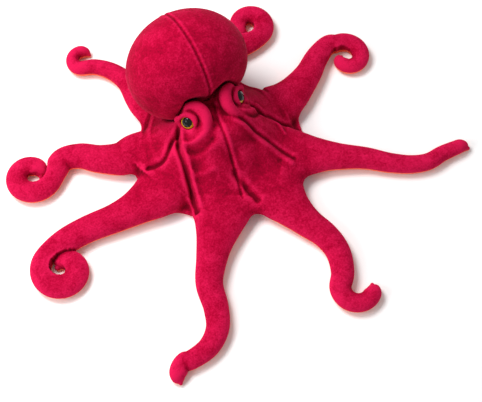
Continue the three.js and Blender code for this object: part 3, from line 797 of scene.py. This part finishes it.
def surface_nets(field):
    """The zero surface of a field on the grid, as points and four-cornered faces that point outwards."""
    inside = field < 0
    nx, ny, nz = field.shape
    corners = [(i, j, k) for i in (0, 1) for j in (0, 1) for k in (0, 1)]

    def corner(array, at):
        i, j, k = at
        return array[i : nx - 1 + i, j : ny - 1 + j, k : nz - 1 + k]

    count = sum(corner(inside, at).astype(np.int8) for at in corners)
    cells = np.argwhere((count > 0) & (count < 8))
    total = np.zeros((len(cells), 3))
    hits = np.zeros(len(cells))
    for at in corners:
        for axis in range(3):
            if at[axis]:
                continue
            other = list(at)
            other[axis] = 1
            a = field[tuple((cells + at).T)]
            b = field[tuple((cells + other).T)]
            cross = (a < 0) != (b < 0)
            share = np.where(cross, a / np.where(cross, a - b, 1), 0)
            spot = np.tile(np.array(at, float), (len(cells), 1))
            spot[:, axis] += share
            total += spot * cross[:, None]
            hits += cross
    points = cells + total / hits[:, None]
    number = np.full((nx - 1, ny - 1, nz - 1), -1, np.int64)
    number[tuple(cells.T)] = np.arange(len(cells))
    faces = []
    for axis in range(3):
        first, second = [a for a in range(3) if a != axis]
        step = np.zeros(3, int)
        step[axis] = 1
        low = inside[: nx - step[0], : ny - step[1], : nz - step[2]]
        high = inside[step[0] :, step[1] :, step[2] :]
        edges = np.argwhere(low != high)
        limit = np.array([nx - 1, ny - 1, nz - 1])
        keep = (edges[:, first] > 0) & (edges[:, second] > 0)
        keep &= (edges[:, first] < limit[first]) & (edges[:, second] < limit[second])
        edges = edges[keep]
        leaving = low[tuple(edges.T)]
        u = np.zeros(3, int)
        v = np.zeros(3, int)
        u[first], v[second] = 1, 1
        quad = [edges - u - v, edges - v, edges, edges - u]
        quad = np.stack([number[tuple(q.T)] for q in quad], -1)
        if axis == 1:
            leaving = ~leaving
        quad = np.where(leaving[:, None], quad, quad[:, ::-1])
        faces.append(quad)
    return points, np.vstack(faces)


def sample(array, spots):
    """Values of a grid array between its points. Spots are in grid steps."""
    limit = np.array(array.shape[:3]) - 2
    base = np.clip(np.floor(spots).astype(int), 0, limit)
    share = spots - base
    total = 0
    for i in (0, 1):
        for j in (0, 1):
            for k in (0, 1):
                weight = (
                    np.abs(1 - i - share[:, 0]) * np.abs(1 - j - share[:, 1]) * np.abs(1 - k - share[:, 2])
                )
                value = array[base[:, 0] + i, base[:, 1] + j, base[:, 2] + k]
                total = total + weight * value
    return total


def slope_of(field, spots):
    """The field's gradient at spots, per millimetre."""
    half = 0.5
    slopes = []
    for axis in range(3):
        shift = np.zeros(3)
        shift[axis] = half
        slopes.append(sample(field, spots + shift) - sample(field, spots - shift))
    return np.stack(slopes, -1) / (2 * half * STEP)


LEAST_SLOPE = 0.04
LONGEST_MOVE = 1.5


def settle(field, spots, rounds, fixed=None):
    """Moves spots onto the field's zero surface. A fixed axis per spot keeps its value."""
    for _ in range(rounds):
        value = sample(field, spots)
        slope = slope_of(field, spots)
        if fixed is not None:
            slope = slope * ~fixed
        size = np.maximum((slope**2).sum(-1), LEAST_SLOPE)
        step = (value / size)[:, None] * slope
        longest = np.linalg.norm(step, axis=1, keepdims=True)
        step = step * np.minimum(1, LONGEST_MOVE / np.maximum(longest, 1e-9))
        spots = spots - step / STEP
    return spots


ORIGIN = np.array([X[0], Y[0], Z[0]])


def plan_value(array, points):
    """Values of a floor map under points in millimetres."""
    u = np.clip((points[:, 0] - X[0]) / STEP, 0, len(X) - 1.001)
    v = np.clip((points[:, 1] - Y[0]) / STEP, 0, len(Y) - 1.001)
    i, j = u.astype(int), v.astype(int)
    a, b = u - i, v - j
    return (
        array[i, j] * (1 - a) * (1 - b)
        + array[i + 1, j] * a * (1 - b)
        + array[i, j + 1] * (1 - a) * b
        + array[i + 1, j + 1] * a * b
    )


def nearest_plan(array, points):
    i = np.clip(np.round((points[:, 0] - X[0]) / STEP).astype(int), 0, len(X) - 1)
    j = np.clip(np.round((points[:, 1] - Y[0]) / STEP).astype(int), 0, len(Y) - 1)
    return array[i, j]


# Which arm each place on the floor belongs to: by direction near the body, then by the nearest arm.
angles = np.array([arm["angle"] for arm in ARMS])
apart = np.abs((PLAN_ANGLE[None] - angles[:, None, None] + 180) % 360 - 180)
near_arm = np.argmin(apart, axis=0)
gaps = np.stack([m[0] - arm_size(arm, m[2], m[1])[0] for arm, m in zip(ARMS, MAPS)])
OWN_REACH = 16
SEAM_ROUNDS = 6  # evens out the seam's height where two arms meet
OWNER = np.where(PLAN_RADIUS < WEB_RADIUS + OWN_REACH, near_arm, np.argmin(gaps, axis=0))

seams = np.zeros(PLAN_X.shape)
for number, (arm, (distance, side, along)) in enumerate(zip(ARMS, MAPS)):
    half_width, height = arm_size(arm, along, side)
    seams = np.where(OWNER == number, seam_height(height), seams)
for _ in range(SEAM_ROUNDS):
    seams = (
        seams + np.roll(seams, 1, 0) + np.roll(seams, -1, 0) + np.roll(seams, 1, 1) + np.roll(seams, -1, 1)
    ) / 5
SEAMS = seams

# ---- Bends ----

BEND_START = 86  # the root of an arm starts to bend at this distance from the body's axis
BEND_SPAN = 38
SHORT_SPAN, HIGH_LIFT = 28, 30  # the arms that can't be lifted higher than this bend over a shorter span
NOTCH_RADIUS = 128  # where the webs end between the arms
CREASE_ROUNDS = int(round(90 / STEP**2))  # spreads a point's height over about 6 mm
CREASE_DEPTH = 1.1
FOLD_REACH = 16  # the middle of an arm bends over this length each side of its fold
FOLD_NEAR = 40  # the same, along a curled arm, which may pass its fold's line again
ROOT_NEAR = 20

for number, arm in enumerate(ARMS):
    arm["number"] = number
    span = BEND_SPAN if JOINTS[arm["name"] + "_lift"]["range_deg"][1] > HIGH_LIFT else SHORT_SPAN
    arm["sides"] = {}
    for side, sign, other in (("left", 1, ARMS[number - 7]), ("right", -1, ARMS[number - 1])):
        half = math.radians(((other["angle"] - arm["angle"]) * sign) % 360) / 2
        notch = np.array([math.cos(half), math.sin(half)]) * min(NOTCH_RADIUS, HINGE_RADIUS / math.cos(half))
        slope = (notch[0] - BEND_START) / notch[1]
        way = arm["out"] - sign * slope * arm["left"]
        start = arm["out"] * BEND_START
        end = start + way * span / (way @ way)
        arm["sides"][side] = (start, end)


def bend_share(line, points):
    start, end = line
    way = end - start
    return ((points[:, :2] - start) @ way) / (way @ way)


def sort_faces(centres):
    """The region of each face: body, or an arm's number with the name of its stretch."""
    owner = nearest_plan(OWNER, centres)
    region = np.full(len(centres), "body", dtype=object)
    for arm in ARMS:
        mine = owner == arm["number"]
        spots = centres[mine]
        lateral = spots[:, :2] @ arm["left"]
        radial = spots[:, :2] @ arm["out"]
        share = np.where(
            lateral > 0, bend_share(arm["sides"]["left"], spots), bend_share(arm["sides"]["right"], spots)
        )
        along = nearest_plan(MAPS[arm["number"]][2], spots)
        past = (spots[:, :2] - arm["fold"]) @ arm["tangent"]
        name = np.where(lateral > 0, "root_left", "root_right").astype(object)
        beyond = (past > -FOLD_REACH) & (along > arm["fold_along"] - FOLD_NEAR)
        name[beyond] = "bend"
        done = (past > FOLD_REACH) | (along > arm["fold_along"] + FOLD_NEAR)
        name[done & beyond] = "end"
        full = np.array([f"{arm['name']}_{n}" for n in name], dtype=object)
        full[(share <= 0) | (radial < BEND_START - ROOT_NEAR)] = "body"
        region[mine] = full
    return region


# These values are painted onto the plush as shade in the folds and as highlight on the ridges.
def crease_of(points, faces, normals):
    """How far each point lies below its neighbours, in folds, or above them, on ridges: 1 to -1."""
    edges = np.vstack([faces[:, [0, 1]], faces[:, [1, 2]], faces[:, [2, 3]], faces[:, [3, 0]]])
    count = np.bincount(edges.ravel(), minlength=len(points))[:, None]

    def around(values):
        total = np.zeros(values.shape)
        for column in range(values.shape[1]):
            for a, b in ((0, 1), (1, 0)):
                total[:, column] += np.bincount(
                    edges[:, a], weights=values[edges[:, b], column], minlength=len(points)
                )
        return total / np.maximum(count, 1)

    smooth = points.copy()
    for _ in range(CREASE_ROUNDS):
        smooth = (smooth + around(smooth)) / 2
    depth = ((smooth - points) * normals).sum(-1, keepdims=True)
    for _ in range(3):
        depth = (depth + around(depth)) / 2
    return np.clip(depth[:, 0] / CREASE_DEPTH, -1, 1)


# Stores values that the plush material paints: above 0 as painted shade, below 0 as painted highlight.
def set_painted_relief_shade(mesh, values):
    attribute = mesh.attributes.new("crease", "FLOAT", "POINT")
    attribute.data.foreach_set("value", values.astype(np.float32))


def make_piece(name, points, faces, material, normals, crease):
    used, index = np.unique(faces, return_inverse=True)
    index = index.reshape(faces.shape)
    mesh = bpy.data.meshes.new(name)
    mesh.from_pydata((points[used] * MM).tolist(), [], index.tolist())
    mesh.materials.append(material)
    mesh.polygons.foreach_set("use_smooth", np.ones(len(index), bool))
    mesh.update()
    mesh.normals_split_custom_set_from_vertices(normals[used].tolist())
    set_painted_relief_shade(mesh, crease[used])
    return link(mesh, name)


def vertex_normals(points, faces):
    a, b, c, d = (points[faces[:, i]] for i in range(4))
    each = np.cross(c - a, d - b)
    total = np.zeros(points.shape)
    for column in range(4):
        np.add.at(total, faces[:, column], each)
    return total / np.maximum(np.linalg.norm(total, axis=1, keepdims=True), 1e-12)


def make_plush_body():
    field = plush_field()
    spots, faces = surface_nets(field)
    spots = settle(field, spots, 2)
    points = spots * STEP + ORIGIN

    centres = points[faces].mean(axis=1)
    under = centres[:, 2] < plan_value(SEAMS, centres)
    region = sort_faces(centres)

    # The seam between the upper and lower cloth is drawn exactly, and so is the line along each root.
    touched = np.zeros((2, len(points)), bool)
    for flag in (0, 1):
        touched[flag][np.unique(faces[under == bool(flag)])] = True
    on_seam = touched[0] & touched[1]
    points[on_seam, 2] = plan_value(SEAMS, points[on_seam])
    fixed = np.zeros(points.shape, bool)
    fixed[on_seam, 2] = True
    spots = settle(field, (points - ORIGIN) / STEP, 3, fixed)
    points = spots * STEP + ORIGIN
    for arm in ARMS:
        left = np.zeros(len(points), bool)
        right = np.zeros(len(points), bool)
        left[np.unique(faces[region == arm["name"] + "_root_left"])] = True
        right[np.unique(faces[region == arm["name"] + "_root_right"])] = True
        middle = left & right
        lateral = points[middle][:, :2] @ arm["left"]
        points[middle, :2] -= lateral[:, None] * arm["left"]

    normals = vertex_normals(points, faces)
    # Painted shade and painted highlight: the folds are drawn darker and the ridges paler from this.
    crease = crease_of(points, faces, normals)
    materials = {"top": CRIMSON, "under": ORANGE}
    made = {}
    for name in sorted(set(region)):
        for cloth in ("top", "under"):
            chosen = faces[(region == name) & (under == (cloth == "under"))]
            if len(chosen):
                piece = make_piece(f"{name}_{cloth}_plush", points, chosen, materials[cloth], normals, crease)
                made[f"{name}_{cloth}"] = piece
    return made


PLUSH = make_plush_body()

for cloth in ("top", "under"):
    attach(PLUSH[f"body_{cloth}"], "body")
    for arm in ARMS:
        name = arm["name"]
        for side in ("left", "right"):
            piece = PLUSH.get(f"{name}_root_{side}_{cloth}")
            start, end = arm["sides"][side]
            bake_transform(piece)
        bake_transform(PLUSH[f"{name}_bend_{cloth}"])
        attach(PLUSH[f"{name}_end_{cloth}"], f"{name}_end")

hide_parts("face_panel_left", "face_panel_right", "body_stuffing")
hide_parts("eyelid_left", "eyelid_right", "brow_left", "brow_right")
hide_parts("body_underside")
for arm in ARMS:
    name = arm["name"]
    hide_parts(f"{name}_base_top", f"{name}_stuffing")
    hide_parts(f"{name}_base_under")
    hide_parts(f"{name}_end_top")
    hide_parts(f"{name}_end_under")

# ---- Mantle ----

MANTLE_CLOTH = 5.0  # spacing of the cloth that is blown up
MANTLE_SLACK = 0.972  # the panels are cut this much smaller than they stuff out to
MANTLE_RINGS, MANTLE_SIDES = 60, 96
MANTLE_BULGE = 4.5  # the most that the stuffing moves the cloth
STUFFING_FRAMES = 20
NECK_ROUND = 8.0
NECK_HOLD = 3  # the cloth is held this near to the neck's seam
SEAM_HOLD = 0.6  # and this near to the middle seam, as a share of the cloth's spacing


def ring_faces(rings, sides):
    """The faces between rings of points, one ring after another."""
    faces = []
    for a in range(0, rings * sides, sides):
        for j in range(sides):
            k = (j + 1) % sides
            faces.append((a + j, a + sides + j, a + sides + k, a + k))
    return faces


def mantle_shell(rings, sides):
    """The bag before it is stuffed, about an axis from the neck to the back."""
    angles = np.linspace(0, np.pi, rings + 1)[1:-1]
    around = np.linspace(0, 2 * np.pi, sides, endpoint=False)
    a, t = np.meshgrid(angles, around, indexing="ij")
    reach = mantle_reach(a) * MANTLE_SLACK
    out = reach * np.sin(a)
    body = np.stack([out * np.sin(t), -reach * np.cos(a), out * np.cos(t)], -1).reshape(-1, 3)
    ends = mantle_reach(np.array([0, np.pi])) * MANTLE_SLACK
    poles = np.array([[0, -ends[0], 0], [0, ends[1], 0]])
    local = np.vstack([body, poles])
    local = local @ np.array([[1, 0, 0], MANTLE_AXIS, MANTLE_UP])
    points = local * MANTLE_STRETCH + MANTLE_CENTRE
    faces = ring_faces(rings - 2, sides)
    neck, back = len(points) - 2, len(points) - 1
    last = (rings - 2) * sides
    for j in range(sides):
        k = (j + 1) % sides
        faces.append((neck, j, k))
        faces.append((back, last + k, last + j))
    return points, faces


def press_to_neck(points):
    """Points of the mantle, pressed against the face where it is sewn to the neck, and by the brows."""
    behind = (points - NECK_HINGE) @ NECK_FACE
    pressed = smooth_max(behind, neck_gap(points), NECK_ROUND)
    return points + (pressed - behind)[:, None] * NECK_FACE


def points_of(mesh, what="co"):
    flat = np.zeros(len(mesh.vertices) * 3, np.float32)
    mesh.vertices.foreach_get(what, flat)
    return flat.reshape(-1, 3).astype(float)


def applied(piece):
    """The piece's mesh with its modifiers, which are then taken off."""
    graph = bpy.context.evaluated_depsgraph_get()
    mesh = bpy.data.meshes.new_from_object(piece.evaluated_get(graph))
    piece.modifiers.clear()
    piece.data = mesh
    return mesh


def blow_up(piece, sewn, cap):
    """Fills a piece as its stuffing does, held where it is sewn, with no point moved past the cap."""
    start = points_of(piece.data)
    held = piece.vertex_groups.new(name="sewn")
    held.add(np.flatnonzero(sewn).tolist(), 1.0, "REPLACE")
    cloth = piece.modifiers.new("stuffing", "CLOTH")
    cloth.settings.quality = 5
    cloth.settings.mass = 0.3
    cloth.settings.use_pressure = True
    cloth.settings.uniform_pressure_force = 4
    cloth.settings.effector_weights.gravity = 0
    cloth.settings.vertex_group_mass = "sewn"
    cloth.point_cache.frame_start = 1
    cloth.point_cache.frame_end = STUFFING_FRAMES
    for number in range(1, STUFFING_FRAMES + 1):
        bpy.context.scene.frame_set(number)
    mesh = applied(piece)
    bpy.context.scene.frame_set(1)
    move = points_of(mesh) - start
    size = np.linalg.norm(move, axis=1, keepdims=True)
    move = move * np.minimum(1, cap / np.maximum(size, 1e-9))
    mesh.vertices.foreach_set("co", (start + move).astype(np.float32).ravel())
    piece.vertex_groups.clear()


def subdivide(piece, levels):
    smoother = piece.modifiers.new("smoother", "SUBSURF")
    smoother.levels = levels
    smoother.render_levels = levels
    return applied(piece)


SEAM_DEPTH, SEAM_WIDTH = 1.5, 1.8
LIP_HEIGHT, LIP_WIDTH, LIP_PLACE = 0.55, 2.6, 4.5  # the cloth swells beside the seam
PUCKER_HEIGHT, PUCKER_WIDTH, PUCKER_LENGTH = 0.28, 7.0, 9.0


def sew_mantle(mesh):
    """Draws the middle seam in, with the small puckers that its stitches make, and paints shade into the
    seam's line and a highlight on the swells beside it.
    """
    points = points_of(mesh) / MM
    normals = points_of(mesh, "normal")
    local = (points - MANTLE_CENTRE) @ np.stack([[1, 0, 0], MANTLE_AXIS, MANTLE_UP], -1)
    off = np.abs(local[:, 0])
    run = np.arctan2(local[:, 2], local[:, 1]) * MANTLE_RADIUS
    lip = LIP_HEIGHT * hump(off, LIP_WIDTH, LIP_PLACE)
    pucker = PUCKER_HEIGHT * np.cos(2 * np.pi * run / PUCKER_LENGTH) * hump(off, PUCKER_WIDTH)
    shift = lip + pucker - SEAM_DEPTH * hump(off, SEAM_WIDTH)
    points = press_to_neck(points + shift[:, None] * normals)
    mesh.vertices.foreach_set("co", (points * MM).astype(np.float32).ravel())
    # Painted shade along the seam's line, and painted highlight on the swells beside it.
    set_painted_relief_shade(mesh, 0.8 * hump(off, 1.5) - 0.5 * hump(off, 1.8, 3.6))
    mesh.update()


def make_mantle():
    points, faces = mantle_shell(MANTLE_RINGS, MANTLE_SIDES)
    mesh = bpy.data.meshes.new("mantle_bag")
    mesh.from_pydata((press_to_neck(points) * MM).tolist(), [], faces)
    mesh.update()
    piece = link(mesh, "mantle_bag")
    remesh = piece.modifiers.new("remesh", "REMESH")
    remesh.mode = "VOXEL"
    remesh.voxel_size = MANTLE_CLOTH * MM
    mesh = applied(piece)
    spots = points_of(mesh) / MM
    at_neck = (spots - NECK_HINGE) @ NECK_FACE < neck_gap(spots) + NECK_HOLD
    on_seam = np.abs(spots[:, 0] - MANTLE_CENTRE[0]) < MANTLE_CLOTH * SEAM_HOLD
    blow_up(piece, at_neck | on_seam, MANTLE_BULGE * MM)
    subdivide(piece, 2)
    mesh = piece.data
    sew_mantle(mesh)
    mesh.materials.clear()
    mesh.materials.append(CRIMSON)
    mesh.polygons.foreach_set("use_smooth", np.ones(len(mesh.polygons), bool))
    mesh.update()
    return piece


MANTLE = make_mantle()
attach(MANTLE, "mantle")
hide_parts("mantle_panel_left", "mantle_panel_right", "mantle_stuffing")

# ---- Neck ----

NECK_FOLDS = 10
NECK_PLEAT = 0.05  # how far every other fold is drawn in
NECK_SIDES = 64
NECK_LENGTH = 6
NECK_HALF_WIDTH, NECK_HALF_HEIGHT = 40, 33
NECK_DROP = 34  # from the hinge down to the sleeve's middle


def make_neck():
    """The cloth between the face and the mantle: a flat-folded sleeve, which on the toy opens when the mantle
    is raised."""
    across = np.array([1, 0, 0])
    down = np.cross(across, NECK_FACE)
    down = down if down[2] < 0 else -down
    middle = NECK_HINGE + down * NECK_DROP
    around = np.linspace(0, 2 * np.pi, NECK_SIDES, endpoint=False)
    points = []
    for ring in range(NECK_FOLDS + 1):
        share = ring / NECK_FOLDS
        pleat = 1 - NECK_PLEAT * (ring % 2)
        behind = (share - 0.5) * NECK_LENGTH
        for turn in around:
            edge = across * NECK_HALF_WIDTH * math.cos(turn) + down * NECK_HALF_HEIGHT * math.sin(turn)
            points.append(middle + edge * pleat + NECK_FACE * behind)
    faces = [(a, d, c, b) for a, b, c, d in ring_faces(NECK_FOLDS, NECK_SIDES)]
    faces.append(tuple(reversed(range(NECK_SIDES))))
    faces.append(tuple(NECK_FOLDS * NECK_SIDES + j for j in range(NECK_SIDES)))
    mesh = bpy.data.meshes.new("neck_sleeve")
    mesh.from_pydata((np.array(points) * MM).tolist(), [], faces)
    mesh.materials.append(CRIMSON)
    mesh.update()
    piece = link(mesh, "neck_sleeve")
    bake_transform(piece)


make_neck()

# ---- Stitches ----

STITCH_SPACING = 3.6
STITCH_LENGTH = 2.4
STITCH_RADIUS = 0.42
STITCH_SINK = 0.0001  # metres
MANTLE_SEAM = (-38, 148, 1.5)  # degrees from the way to the back: from, to, step
OUTSIDE = 150  # from the mantle's middle, past its cloth
ABOVE = 0.2  # metres, over all of the face
SEAM_END = 0.03  # metres: the face's seam isn't sewn lower than this


def stitch_tree():
    """A node tree that lays stitches along a line of points: spacing, length and radius are its inputs."""
    tree = bpy.data.node_groups.new("stitches", "GeometryNodeTree")
    interface = tree.interface
    interface.new_socket("Geometry", in_out="INPUT", socket_type="NodeSocketGeometry")
    for name in ("Spacing", "Length", "Radius"):
        interface.new_socket(name, in_out="INPUT", socket_type="NodeSocketFloat")
    interface.new_socket("Thread", in_out="INPUT", socket_type="NodeSocketMaterial")
    interface.new_socket("Geometry", in_out="OUTPUT", socket_type="NodeSocketGeometry")
    given = add_node(tree, "NodeGroupInput")
    curve = add_node(tree, "GeometryNodeMeshToCurve", {"Mesh": given.outputs["Geometry"]})
    spots = add_node(
        tree,
        "GeometryNodeCurveToPoints",
        {"Curve": curve.outputs[0], "Length": given.outputs["Spacing"]},
        mode="LENGTH",
    )
    stitch = add_node(
        tree,
        "GeometryNodeMeshCylinder",
        {"Vertices": 6, "Radius": given.outputs["Radius"], "Depth": given.outputs["Length"]},
    )
    laid = add_node(
        tree,
        "GeometryNodeInstanceOnPoints",
        {
            "Points": spots.outputs["Points"],
            "Instance": stitch.outputs["Mesh"],
            "Rotation": add_node(
                tree, "FunctionNodeAlignRotationToVector", {"Vector": spots.outputs["Tangent"]}, axis="Z"
            ).outputs[0],
        },
    )
    real = add_node(tree, "GeometryNodeRealizeInstances", {"Geometry": laid.outputs[0]})
    dressed = add_node(
        tree, "GeometryNodeSetMaterial", {"Geometry": real.outputs[0], "Material": given.outputs["Thread"]}
    )
    add_node(tree, "NodeGroupOutput", {"Geometry": dressed.outputs[0]})
    return tree


STITCHES = stitch_tree()


def on_surface(piece, origins, way):
    """Where rays from some origins, all one way or each its own, first meet a piece."""
    graph = bpy.context.evaluated_depsgraph_get()
    tree = BVHTree.FromObject(piece, graph)
    hits = []
    for origin, direction in zip(origins, way):
        hit, normal, _, _ = tree.ray_cast(Vector(origin), Vector(direction))
        if hit is not None:
            hits.append(hit - normal * STITCH_SINK)
    return hits


def sew(name, line, body):
    """A row of stitches along a line of points, as a plain mesh that rides on a body."""
    mesh = bpy.data.meshes.new(name)
    mesh.from_pydata([tuple(p) for p in line], [(i, i + 1) for i in range(len(line) - 1)], [])
    piece = link(mesh, name)
    nodes = piece.modifiers.new("stitches", "NODES")
    nodes.node_group = STITCHES
    values = {
        "Spacing": STITCH_SPACING * MM,
        "Length": STITCH_LENGTH * MM,
        "Radius": STITCH_RADIUS * MM,
        "Thread": THREAD,
    }
    for item in STITCHES.interface.items_tree:
        if item.in_out == "INPUT" and item.name in values:
            nodes[item.identifier] = values[item.name]
    applied(piece)
    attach(piece, body)


def sew_mantle_seam():
    ways, origins = [], []
    for turn in np.radians(np.arange(*MANTLE_SEAM)):
        way = MANTLE_AXIS * math.cos(turn) + MANTLE_UP * math.sin(turn)
        origins.append((MANTLE_CENTRE + way * OUTSIDE) * MM)
        ways.append(-way)
    sew("mantle_seam_stitches", on_surface(MANTLE, origins, ways), "mantle")


def sew_face_seam():
    path = through_points(FOLDS[0][0], LINE_STEP)
    origins = [(x * MM, y * MM, ABOVE) for x, y in path]
    hits = on_surface(PLUSH["body_top"], origins, [(0, 0, -1)] * len(origins))
    sew("face_seam_stitches", [hit for hit in hits if hit.z > SEAM_END], "body")


sew_mantle_seam()
sew_face_seam()

# ---- Eyes ----

EYE_MATERIALS = {"eye_iris": YELLOW, "eye_pupil": BLACK, "eye_washer": CLEAR}

for name, node in frame["nodes"].items():
    for start, material in EYE_MATERIALS.items():
        if name.startswith(start):
            node.data.materials.clear()
            node.data.materials.append(material)
